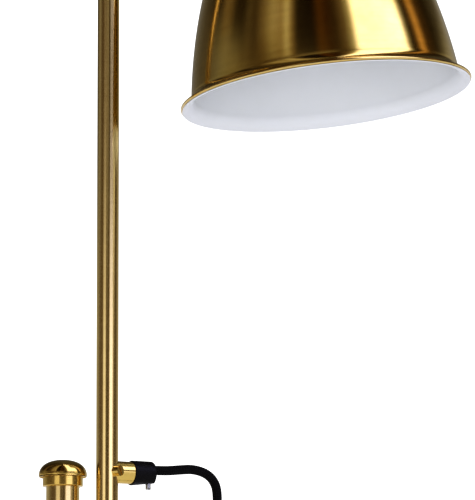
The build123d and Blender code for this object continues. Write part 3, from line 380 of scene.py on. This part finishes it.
def braid_finish():
    """Black textile braid with fine threads across the strands. The gaps between the strands' crowns are
    painted darker as shade and the crowns lighter as if lit. The UV map runs round and along the cord, in metres."""
    material, nodes, links, surface = shader(
        "black_braid", Roughness=0.8, Sheen_Weight=0.02, Sheen_Roughness=0.5, Specular_IOR_Level=0.2)
    place = node(nodes, "ShaderNodeTexCoord")
    crown = node(nodes, "ShaderNodeAttribute", attribute_name="braid_painted_shade")
    # painted shade: the colour is darkest in the gaps between the strands and lighter on their crowns
    colour = ramp(nodes, [(0.0, (0.0018, 0.0016, 0.0016)), (0.6, (0.0064, 0.0055, 0.0054)),
                          (1.0, (0.0120, 0.0104, 0.0102))])
    links.new(crown.outputs["Fac"], colour.inputs["Fac"])
    links.new(colour.outputs["Color"], surface.inputs["Base Color"])
    stretch = node(nodes, "ShaderNodeMapping")
    stretch.inputs["Scale"].default_value = (5200, 1500, 1)
    links.new(place.outputs["UV"], stretch.inputs["Vector"])
    thread = node(nodes, "ShaderNodeTexNoise", Scale=1.0, Detail=2.0)
    links.new(stretch.outputs[0], thread.inputs["Vector"])
    bump = node(nodes, "ShaderNodeBump", Strength=0.5, Distance=0.0001)
    links.new(thread.outputs["Fac"], bump.inputs["Height"])
    links.new(bump.outputs[0], surface.inputs["Normal"])
    return material


def glass_finish():
    """Frosted bulb glass, slightly milky."""
    material, nodes, links, surface = shader(
        "frosted_glass", Transmission_Weight=0.55, IOR=1.45, Base_Color=(0.93, 0.93, 0.90, 1))
    place = node(nodes, "ShaderNodeTexCoord")
    noise = node(nodes, "ShaderNodeTexNoise", Scale=600.0, Detail=2.0)
    links.new(place.outputs["Object"], noise.inputs["Vector"])
    rough = node(nodes, "ShaderNodeMapRange")
    rough.inputs["To Min"].default_value = 0.35
    rough.inputs["To Max"].default_value = 0.5
    links.new(noise.outputs["Fac"], rough.inputs["Value"])
    links.new(rough.outputs["Result"], surface.inputs["Roughness"])
    return material


# ---------------------------------------------------------------- cord

# The loop's route from the mast's port over the bend, down, round and back up to the stand's port.
LOOP_POINTS = [
    (0.050328, 0.01445, 0.8829),
    (0.058122, 0.01895, 0.8829),
    (0.0662, 0.0235, 0.884),
    (0.0744, 0.0276, 0.8848),
    (0.0823, 0.0311, 0.8824),
    (0.087, 0.0329, 0.877),
    (0.0882, 0.0334, 0.8694),
    (0.0874, 0.0336, 0.858),
    (0.0868, 0.0338, 0.8455),
    (0.0854, 0.0342, 0.826),
    (0.0836, 0.0348, 0.802),
    (0.0824, 0.0356, 0.774),
    (0.0816, 0.0366, 0.746),
    (0.0804, 0.0378, 0.7225),
    (0.0774, 0.0394, 0.704),
    (0.0714, 0.0416, 0.6916),
    (0.0626, 0.0444, 0.6854),
    (0.0524, 0.0478, 0.6875),
    (0.0434, 0.0512, 0.698),
    (0.0376, 0.0542, 0.716),
    (0.035, 0.0566, 0.74),
    (0.0342, 0.0584, 0.766),
    (0.0338, 0.0594, 0.791),
    (0.0334, 0.059, 0.812),
    (0.0329, 0.0572, 0.8235),
    (0.0312, 0.054, 0.8315),
    (0.028, 0.0485, 0.8369),
    (0.0223, 0.038625, 0.8372),
    (0.0178, 0.030831, 0.8372),
]
CORD_D = 5.5 * MM
BRAID_PAIRS = 6
BRAID_DEPTH = 0.11 * MM


def smooth_route(points):
    """The points of a smooth NURBS line that the route's points control."""
    curve = bpy.data.curves.new("route", "CURVE")
    curve.dimensions = "3D"
    curve.resolution_u = 60
    spline = curve.splines.new("NURBS")
    spline.points.add(len(points) - 1)
    for control, point in zip(spline.points, points):
        control.co = (*point, 1)
    spline.order_u = 3
    spline.use_endpoint_u = True
    holder = bpy.data.objects.new("route", curve)
    mesh = bpy.data.meshes.new_from_object(holder)
    line = np.zeros(len(mesh.vertices) * 3)
    mesh.vertices.foreach_get("co", line)
    bpy.data.objects.remove(holder)
    bpy.data.meshes.remove(mesh)
    return line.reshape(-1, 3)


def evenly(line, count):
    """A line's points respaced evenly by its own length."""
    length = np.concatenate([[0], np.linalg.norm(np.diff(line, axis=0), axis=1).cumsum()])
    at = np.linspace(0, length[-1], count)
    return np.stack([np.interp(at, length, line[:, axis]) for axis in range(3)], 1), length[-1]


def carried_frames(line):
    """Side directions that turn with the line and never twist about it."""
    ahead = np.gradient(line, axis=0)
    ahead /= np.linalg.norm(ahead, axis=1, keepdims=True)
    side = np.zeros_like(line)
    side[0] = np.cross(ahead[0], (0, 0, 1))
    side[0] /= np.linalg.norm(side[0])
    for i in range(1, len(line)):
        side[i] = side[i - 1] - ahead[i] * (side[i - 1] @ ahead[i])
        side[i] /= np.linalg.norm(side[i])
    return side, np.cross(ahead, side)


def braided_cord(finish):
    """A tube along the route whose radius is lifted where the two sets of strands cross: the product of
    two opposite helical waves, so the crowns form a diamond lattice."""
    around, along = 48, 1150
    line, length = evenly(smooth_route(LOOP_POINTS), along)
    side, up = carried_frames(line)
    angle = np.arange(around) * (2 * math.pi / around)
    distance = np.linspace(0, length, along)[:, None]
    pitch = BRAID_PAIRS / (CORD_D / 2)
    turns = BRAID_PAIRS * angle[None, :]
    crown = np.cos(turns + pitch * distance) * np.cos(turns - pitch * distance)
    radius = CORD_D / 2 - BRAID_DEPTH * (0.5 - 0.5 * crown)
    grid = line[:, None, :] + radius[:, :, None] * (
        np.cos(angle)[None, :, None] * side[:, None, :] + np.sin(angle)[None, :, None] * up[:, None, :])
    index = np.arange(along * around).reshape(along, around)
    ahead = np.roll(index, -1, 1)
    quads = np.stack([index[:-1], ahead[:-1], ahead[1:], index[1:]], 2).reshape(-1, 4)
    verts = np.concatenate([grid.reshape(-1, 3), line[:1], line[-1:]])
    first, last = along * around, along * around + 1
    caps = [[first, int(b), int(a)] for a, b in zip(index[0], ahead[0])]
    caps += [[last, int(a), int(b)] for a, b in zip(index[-1], ahead[-1])]
    mesh = bpy.data.meshes.new("loop_cord_braid")
    mesh.from_pydata(verts.tolist(), [], quads.tolist() + caps)
    wide = CORD_D * math.pi / around
    left = np.tile(np.arange(around) * wide, along - 1)
    low = np.repeat(distance[:-1, 0], around)
    step = length / (along - 1)
    quad_uv = np.stack([left, low, left + wide, low, left + wide, low + step, left, low + step], 1).ravel()
    cap_uv = np.zeros(len(caps) * 6)
    mesh.uv_layers.new(name="turned").data.foreach_set("uv", np.concatenate([quad_uv, cap_uv]))
    # how high each point stands on a crown, kept to paint shade into the braid's gaps and light onto its crowns
    braid_painted_shade = np.concatenate([(0.5 + 0.5 * crown).ravel(), [0.5, 0.5]]).astype(np.float32)
    mesh.attributes.new("braid_painted_shade", "FLOAT", "POINT").data.foreach_set("value", braid_painted_shade)
    cord = link("loop_cord_braid", mesh)
    mesh.materials.append(finish)
    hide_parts("loop_cord")
    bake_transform(cord)
    evenly(line, 400)[0].tolist()
    return cord


add_camera()
BRAID = braid_finish()
braided_cord(BRAID)

BRASS = brass_finish("turned_brass", True)
BRASS_CAST = brass_finish("cast_brass", False, 0.4)
ENAMEL = enamel_finish()
GRIP_BLACK = speckled_finish("grip_black", (0.0052, 0.0040, 0.0040), (0.0075, 0.0060, 0.0058), 420,
                             (0.38, 0.5), 0.00005, Specular_IOR_Level=0.2)
STEEL = speckled_finish("zinc_steel", (0.50, 0.50, 0.49), (0.64, 0.64, 0.62), 700, (0.22, 0.38), 0.00003,
                        Metallic=1.0)
NYLON = speckled_finish("natural_nylon", (0.60, 0.58, 0.52), (0.68, 0.66, 0.60), 300, (0.4, 0.5), 0.00004,
                        Subsurface_Weight=0.1)
IRON = speckled_finish("cast_iron", (0.012, 0.012, 0.012), (0.03, 0.03, 0.03), 500, (0.55, 0.8), 0.0004)
FELT = speckled_finish("black_felt", (0.010, 0.010, 0.010), (0.03, 0.03, 0.03), 1800, (0.9, 1.0), 0.0006,
                       Sheen_Weight=0.3)
WIRE = speckled_finish("flex_sheath", (0.02, 0.02, 0.02), (0.03, 0.03, 0.03), 500, (0.5, 0.6), 0.00004)
GLASS = glass_finish()
FINISH_OF_SLOT = {"brass": BRASS_CAST, "cast_iron": IRON, "felt": FELT, "steel": STEEL,
                  "black_plastic": GRIP_BLACK, "nylon": NYLON, "black_cord": BRAID, "wiring": WIRE,
                  "white_enamel": ENAMEL, "bulb_glass": GLASS}


# ---------------------------------------------------------------- shade

# In millimetres: radii, and heights over the rim's plane.
RIM_R, BEAD_R = 85.4, 1.0
FLARE_R, FLARE_H = 78.45, 8.6
LOWER_R, LOWER_H = 74.5, 32.7
WAIST_R, WAIST_H = 67.0, 62.0
WALL, LINING_GAP, LINING_T = 1.0, 0.15, 0.5
BEAD_H = LINING_T + LINING_GAP + BEAD_R
LIP_HALF = 0.7  # half the lip's wall where it runs into the bead
DEPTH, NECK_R, HOLDER_R = 118.0, 26.0, 19.6


def arc_through(a, b, c, count):
    """Points on the circle through a, b and c, and the direction in which it arrives at c."""
    a, b, c = (np.array(p, float) for p in (a, b, c))
    m = np.array([b - a, c - a]) * 2
    centre = np.linalg.solve(m, np.array([b @ b - a @ a, c @ c - a @ a]))
    start, end = (math.atan2(*(p - centre)[::-1]) for p in (a, c))
    radius = np.linalg.norm(a - centre)
    angle = np.linspace(start, end, count)
    ahead = np.array([-math.sin(end), math.cos(end)]) * np.sign(end - start)
    return np.stack([centre[0] + radius * np.cos(angle), centre[1] + radius * np.sin(angle)], 1), ahead


def arc_from(a, ahead, c, count):
    """Points on the circle that leaves a in a given direction and reaches c."""
    a, c = np.array(a, float), np.array(c, float)
    ahead = np.array(ahead, float) / np.linalg.norm(ahead)
    normal = np.array([-ahead[1], ahead[0]])
    chord = c - a
    radius = (chord @ chord) / (2 * (chord @ normal))
    centre = a + normal * radius
    start = math.atan2(*(a - centre)[::-1])
    turn = 2 * math.atan2(abs(chord @ normal), chord @ ahead) * np.sign(radius)
    angle = start + np.linspace(0, turn, count)
    size = abs(radius)
    return np.stack([centre[0] + size * np.cos(angle), centre[1] + size * np.sin(angle)], 1)


def bell(inset, top):
    """One face of the bell from the flare to the neck: two tangent arcs, as spun over a former."""
    lower, ahead = arc_through((FLARE_R - inset, FLARE_H), (LOWER_R - inset, LOWER_H),
                               (WAIST_R - inset, WAIST_H), 40)
    upper = arc_from(lower[-1], ahead, (NECK_R - inset, top), 44)
    return np.concatenate([lower, upper[1:]])


def flare(inset, end):
    """One face of the flared lip, from the foot of the bell out to under or over the bead's middle."""
    return arc_from((FLARE_R - inset, FLARE_H), (0, -1), (RIM_R - BEAD_R, end), 26)


def shade_pieces():
    """The brass shell with its flared lip and rolled bead, and the white lining that runs out under the
    lip and the bead."""
    bead_c = np.array([RIM_R - BEAD_R, BEAD_H])
    roll = np.radians(np.linspace(-125, 105, 34))
    bead = bead_c + BEAD_R * np.stack([np.cos(roll), np.sin(roll)], 1)
    outline = np.concatenate([bell(WALL, DEPTH - WALL)[::-1], flare(WALL, BEAD_H - LIP_HALF)[1:-3], bead,
                              flare(0, BEAD_H + LIP_HALF)[::-1][3:-1], bell(0, DEPTH),
                              [(HOLDER_R, DEPTH), (HOLDER_R, DEPTH - WALL)]])
    wear = np.where(np.linalg.norm(outline - bead_c, axis=1) < 1.1 * BEAD_R, 0.6, 0.0)
    shell = link("shade_spun_shell", turned_mesh("shade_spun_shell", outline * MM, wear, 224), SHADE_AXIS)
    shell.data.materials.append(BRASS)
    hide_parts("shade_shell")
    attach(shell, "shade")
    gap = WALL + LINING_GAP
    outer = flare(gap, LINING_T)
    inner = flare(gap + LINING_T, 0)
    hem_c = (outer[-1] + inner[-1]) / 2
    roll = np.radians(np.linspace(-90, 90, 12))
    hem = hem_c + LINING_T / 2 * np.stack([np.cos(roll), np.sin(roll)], 1)
    outline = np.concatenate([bell(gap + LINING_T, DEPTH - WALL - LINING_T)[::-1], inner[1:-1], hem,
                              outer[::-1][1:-1], bell(gap, DEPTH - WALL),
                              [(HOLDER_R, DEPTH - WALL), (HOLDER_R, DEPTH - WALL - LINING_T)]])
    unworn = np.zeros(len(outline))
    mesh = turned_mesh("shade_white_lining", outline * MM, unworn, 192)
    lining = link("shade_white_lining", mesh, SHADE_AXIS)
    lining.data.materials.append(ENAMEL)
    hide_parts("shade_lining")
    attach(lining, "shade")


shade_pieces()


# ---------------------------------------------------------------- turned parts of the poles and ports

# In millimetres.
TUBE_EDGE = 0.2
COLUMN_WALL, MAST_WALL = 1.2, 1.0
CAP_R, CAP_COLLAR_R, CAP_COLLAR_H, CAP_SPIGOT_H = 13.85, 11.5, 5.9, 10
CAP_POWER = 2.3  # the dome is a superellipse: 2 is round, more is squarer
GRIP_R, GRIP_BORE, BOSS_R, BOSS_IN_GRIP = 7.125, 5.0, 5.6, 6
FLAT_L, FLAT_DEPTH, FLAT_SLOPE = 8.9, 1.5, 1.5  # the flat under a grip, up to its outer end


def at(x):
    return Matrix.Translation((x, 0, 0))


def mm(value):
    return value / MM


def column_pieces():
    """The column and its mushroom cap, a superellipse dome on a collar."""
    low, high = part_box("column_tube")
    tube_r, bore = mm(COLUMN_R), mm(COLUMN_R) - COLUMN_WALL
    turned("column_brass_tube", "stand", ring_points(bore, tube_r, mm(low.z), mm(high.z)),
           [0, TUBE_EDGE, TUBE_EDGE, 0], at(0), BRASS, "column_tube", 128)
    seat = mm(high.z)
    under = seat + CAP_COLLAR_H
    rise = np.linspace(0, 1, 40)[1:]
    dome_h = mm(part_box("column_cap")[1].z) - under
    share = np.sin(rise * math.pi / 2)
    dome = np.stack([CAP_R * (1 - share**CAP_POWER) ** (1 / CAP_POWER), under + dome_h * share], 1)
    dome[-1, 0] = 0
    corners = [(0, seat - CAP_SPIGOT_H), (bore, seat - CAP_SPIGOT_H), (bore, seat), (CAP_COLLAR_R, seat),
               (CAP_COLLAR_R, under), (CAP_R, under)]
    lower, wear = rounded(np.array(corners), np.array([0, 0.5, 0, 0.5, 0.3, 0.3]))
    outline = np.concatenate([lower, dome])
    wear = np.concatenate([wear, np.zeros(len(dome))])
    cap = link("column_mushroom_cap", turned_mesh("column_mushroom_cap", outline * MM, wear, 128))
    cap.data.materials.append(BRASS)
    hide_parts("column_cap")
    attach(cap, "stand")


def mast_pieces():
    """The mast, a plain tube beside the column."""
    low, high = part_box("mast_tube")
    tube_r = mm(MAST_R)
    turned("mast_brass_tube", "mast", ring_points(tube_r - MAST_WALL, tube_r, mm(low.z), mm(high.z)),
           [0, TUBE_EDGE, TUBE_EDGE, 0], at(MAST.x), BRASS, "mast_tube", 128)


def flat_under_grip(end):
    """A cut that flattens a grip's underside towards its outer end, with a short slope into the flat. A
    port's own X points down."""
    def cut(verts):
        ease = np.clip((verts[:, 2] - (end + GRIP_L - FLAT_L * MM)) / (FLAT_SLOPE * MM), 0, 1)
        verts[:, 0] = np.minimum(verts[:, 0], (GRIP_R - FLAT_DEPTH * ease) * MM)
        return verts
    return cut


def port_pieces(prefix, body, place, end):
    """A cord port's black grip, with its rounded end and the flat for its screw."""
    near, far = mm(end), mm(end + GRIP_L)
    step = near + BOSS_IN_GRIP
    grip = [(BOSS_R, near), (GRIP_R, near), (GRIP_R, far), (GRIP_BORE, far), (GRIP_BORE, step),
            (BOSS_R, step)]
    turned(prefix + "_moulded_grip", body, grip, [0, 0.4, 3.0, 0.6, 0, 0], place, GRIP_BLACK,
           prefix + "_grip", 160, flat_under_grip(end))


column_pieces()
mast_pieces()
port_pieces("outlet", "mast", OUTLET, OUTLET_END)
port_pieces("inlet", "stand", INLET, INLET_END)


# ---------------------------------------------------------------- finishes of the parts kept from the frame

for subpart in frame["record"]["subparts"]:
    kept = frame["nodes"][subpart["node"]]
    kept.data.materials.clear()
    kept.data.materials.append(FINISH_OF_SLOT[subpart["material_slot"]])


# ---------------------------------------------------------------- floor and light

FLOOR_R = 40.0
FLOOR_SIDES = 96


def add_floor():
    """A wide round pale floor, softly mottled."""
    mesh = bpy.data.meshes.new("floor")
    turns = [2 * math.pi * step / FLOOR_SIDES for step in range(FLOOR_SIDES)]
    edge = [(FLOOR_R * math.cos(turn), FLOOR_R * math.sin(turn), 0) for turn in turns]
    mesh.from_pydata(edge, [], [range(FLOOR_SIDES)])
    floor = bpy.data.objects.new("floor", mesh)
    bpy.context.scene.collection.objects.link(floor)
    finish = speckled_finish("pale_floor", (0.86, 0.86, 0.85), (0.90, 0.90, 0.89), 3, (0.9, 0.98), 0.0001,
                             Specular_IOR_Level=0.1)
    mesh.materials.append(finish)


# The studio's tall lights and dark screens: (direction round the lamp, in degrees from the front towards
# +X; brightness; warmth, where less than nothing is cool). The low ring is what the poles mirror near
# the lamp's middle, the middle ring what they mirror higher up, and the high ring what the shade does.
LOW_RING = [(-180, 0.42, 0), (-140, 0.36, 0), (-110, 0.27, 0), (-95, 0.17, 0.2), (-79, 0.12, 0.4),
            (-62, 0.13, 0.4), (-48, 0.20, 0.2), (-40, 0.85, -0.2), (-20, 0.95, -0.2), (-13, 0.16, 0.3),
            (-6, 0.08, 0.5), (10, 0.08, 0.5), (18, 0.20, 0.3), (24, 0.90, -0.3), (29, 1.35, -0.8),
            (54, 1.35, -0.8), (61, 0.50, -0.2), (67, 0.12, 0.3), (90, 0.10, 0.4), (104, 0.16, 0.2),
            (116, 0.22, 0.1), (135, 0.36, 0), (180, 0.42, 0)]
MIDDLE_RING = [(-180, 0.20, 0), (-140, 0.10, 0.1), (-125, 0.10, 0.2), (-100, 0.22, 0), (-86, 0.22, 0.1),
               (-70, 0.12, 0.3), (-50, 0.085, 0.6), (-36, 0.10, 0.5), (-21, 0.16, 0.3), (-4, 0.26, 0.1),
               (4, 0.26, 0.1), (14, 0.05, 0.4), (42, 0.03, 0.4), (60, 0.08, 0.3), (66, 0.80, 0),
               (76, 0.80, 0), (82, 0.10, 0.3), (104, 0.10, 0.3), (120, 0.20, 0.1), (135, 0.32, 0),
               (180, 0.20, 0)]
HIGH_RING = [(-180, 0.10, 0), (-140, 0.055, 0.2), (-114, 0.03, 0.5), (-105, 0.18, 0.4), (-98, 0.14, 0.4),
             (-91, 0.03, 0.5), (-82, 0.03, 0.5), (-75, 0.10, 0.3), (-68, 0.06, 0.5), (-58, 0.20, 0.3),
             (-50, 0.34, 0.1), (-41, 0.27, 0.3), (-36, 0.50, 0), (-32, 0.22, 0.4), (-27, 0.02, 0.6),
             (-12, 0.015, 0.6), (-5, 0.09, 1.0), (2, 0.05, 1.0), (9, 0.05, 0.7), (18, 0.14, 0.4),
             (24, 0.35, 0), (30, 1.75, -0.9), (77, 1.75, -0.9), (82, 0.30, 0), (86, 0.03, 0.6),
             (91, 0.04, 0.6), (98, 0.60, 0.7), (106, 0.08, 0.7), (120, 0.03, 0.5), (138, 0.08, 0.1),
             (180, 0.10, 0)]
MIDDLE_RING_FROM, MIDDLE_RING_FULL = 0.170, 0.215  # heights, as the vertical part of the direction
HIGH_RING_FROM, HIGH_RING_FULL = 0.32, 0.45
BRIGHTEST = 3.3
SOFT_LIGHT = 0.58
WARM = (1.0, 0.50, 0.10)
COOL = (1.0, 1.03, 1.65)
FILL_PLACE = Vector((0.05, -1.3, 0.75))
FILL_WIDTH = 0.5
FILL_POWER = 4.0


def ring_lights(nodes, ring):
    """One ring of the studio as a colour ramp over the whole turn."""
    stops = []
    for angle, level, warmth in ring:
        tint = WARM if warmth > 0 else COOL
        colour = [(1 + (tone - 1) * abs(warmth)) * level / BRIGHTEST for tone in tint]
        stops.append(((angle + 180) / 360, colour))
    return ramp(nodes, stops)


def add_studio():
    """A studio panorama: tall soft lights and dark screens stand round the lamp, so what shiny parts
    mirror depends on the direction about the vertical. Rough surfaces get an even white light from all
    round, and the camera itself sees plain white paper."""
    world = bpy.data.worlds.new("studio")
    bpy.context.scene.world = world
    world.use_nodes = True
    nodes, links = world.node_tree.nodes, world.node_tree.links
    nodes.clear()
    place = node(nodes, "ShaderNodeTexCoord")
    split = node(nodes, "ShaderNodeSeparateXYZ")
    links.new(place.outputs["Generated"], split.inputs[0])
    back = node(nodes, "ShaderNodeMath", operation="MULTIPLY")
    back.inputs[1].default_value = -1
    links.new(split.outputs["Y"], back.inputs[0])
    turn = node(nodes, "ShaderNodeMath", operation="ARCTAN2")
    links.new(split.outputs["X"], turn.inputs[0])
    links.new(back.outputs[0], turn.inputs[1])
    share = node(nodes, "ShaderNodeMapRange")
    share.inputs["From Min"].default_value = -math.pi
    share.inputs["From Max"].default_value = math.pi
    links.new(turn.outputs[0], share.inputs["Value"])
    below = ring_lights(nodes, LOW_RING)
    links.new(share.outputs["Result"], below.inputs["Fac"])
    light = below.outputs["Color"]
    for ring, low, high in ((MIDDLE_RING, MIDDLE_RING_FROM, MIDDLE_RING_FULL),
                            (HIGH_RING, HIGH_RING_FROM, HIGH_RING_FULL)):
        above = ring_lights(nodes, ring)
        links.new(share.outputs["Result"], above.inputs["Fac"])
        height = node(nodes, "ShaderNodeMapRange", interpolation_type="SMOOTHSTEP")
        height.inputs["From Min"].default_value = low
        height.inputs["From Max"].default_value = high
        links.new(split.outputs["Z"], height.inputs["Value"])
        both = node(nodes, "ShaderNodeMix", data_type="RGBA")
        links.new(height.outputs["Result"], both.inputs["Factor"])
        links.new(light, both.inputs["A"])
        links.new(above.outputs["Color"], both.inputs["B"])
        light = both.outputs["Result"]
    room = node(nodes, "ShaderNodeBackground", Strength=BRIGHTEST)
    links.new(light, room.inputs["Color"])
    soft = node(nodes, "ShaderNodeBackground", Strength=SOFT_LIGHT)
    paper = node(nodes, "ShaderNodeBackground", Strength=1.0)
    soft.inputs["Color"].default_value = (1, 1, 1, 1)
    paper.inputs["Color"].default_value = (1, 1, 1, 1)
    seen = node(nodes, "ShaderNodeLightPath")
    shine = room
    for rays, light in (("Is Diffuse Ray", soft), ("Is Camera Ray", paper)):
        mix = node(nodes, "ShaderNodeMixShader")
        links.new(seen.outputs[rays], mix.inputs["Fac"])
        links.new(shine.outputs[0], mix.inputs[1])
        links.new(light.outputs[0], mix.inputs[2])
        shine = mix
    out = node(nodes, "ShaderNodeOutputWorld")
    links.new(shine.outputs[0], out.inputs["Surface"])


def add_fill():
    """A soft light in front of the lamp and low down, turned up into the shade."""
    data = bpy.data.lights.new("fill", "AREA")
    data.shape = "DISK"
    data.size = FILL_WIDTH
    data.energy = FILL_POWER
    data.color = (0.97, 0.985, 1.0)
    light = bpy.data.objects.new("fill", data)
    bpy.context.scene.collection.objects.link(light)
    light.location = FILL_PLACE
    light.rotation_euler = (SHADE_AXIS.translation - light.location).to_track_quat("-Z", "Y").to_euler()
    light.visible_camera = False
    light.visible_glossy = False


add_floor()
add_studio()
add_fill()
bpy.context.scene.view_settings.view_transform = "Standard"
bpy.context.scene.view_settings.look = "High Contrast"
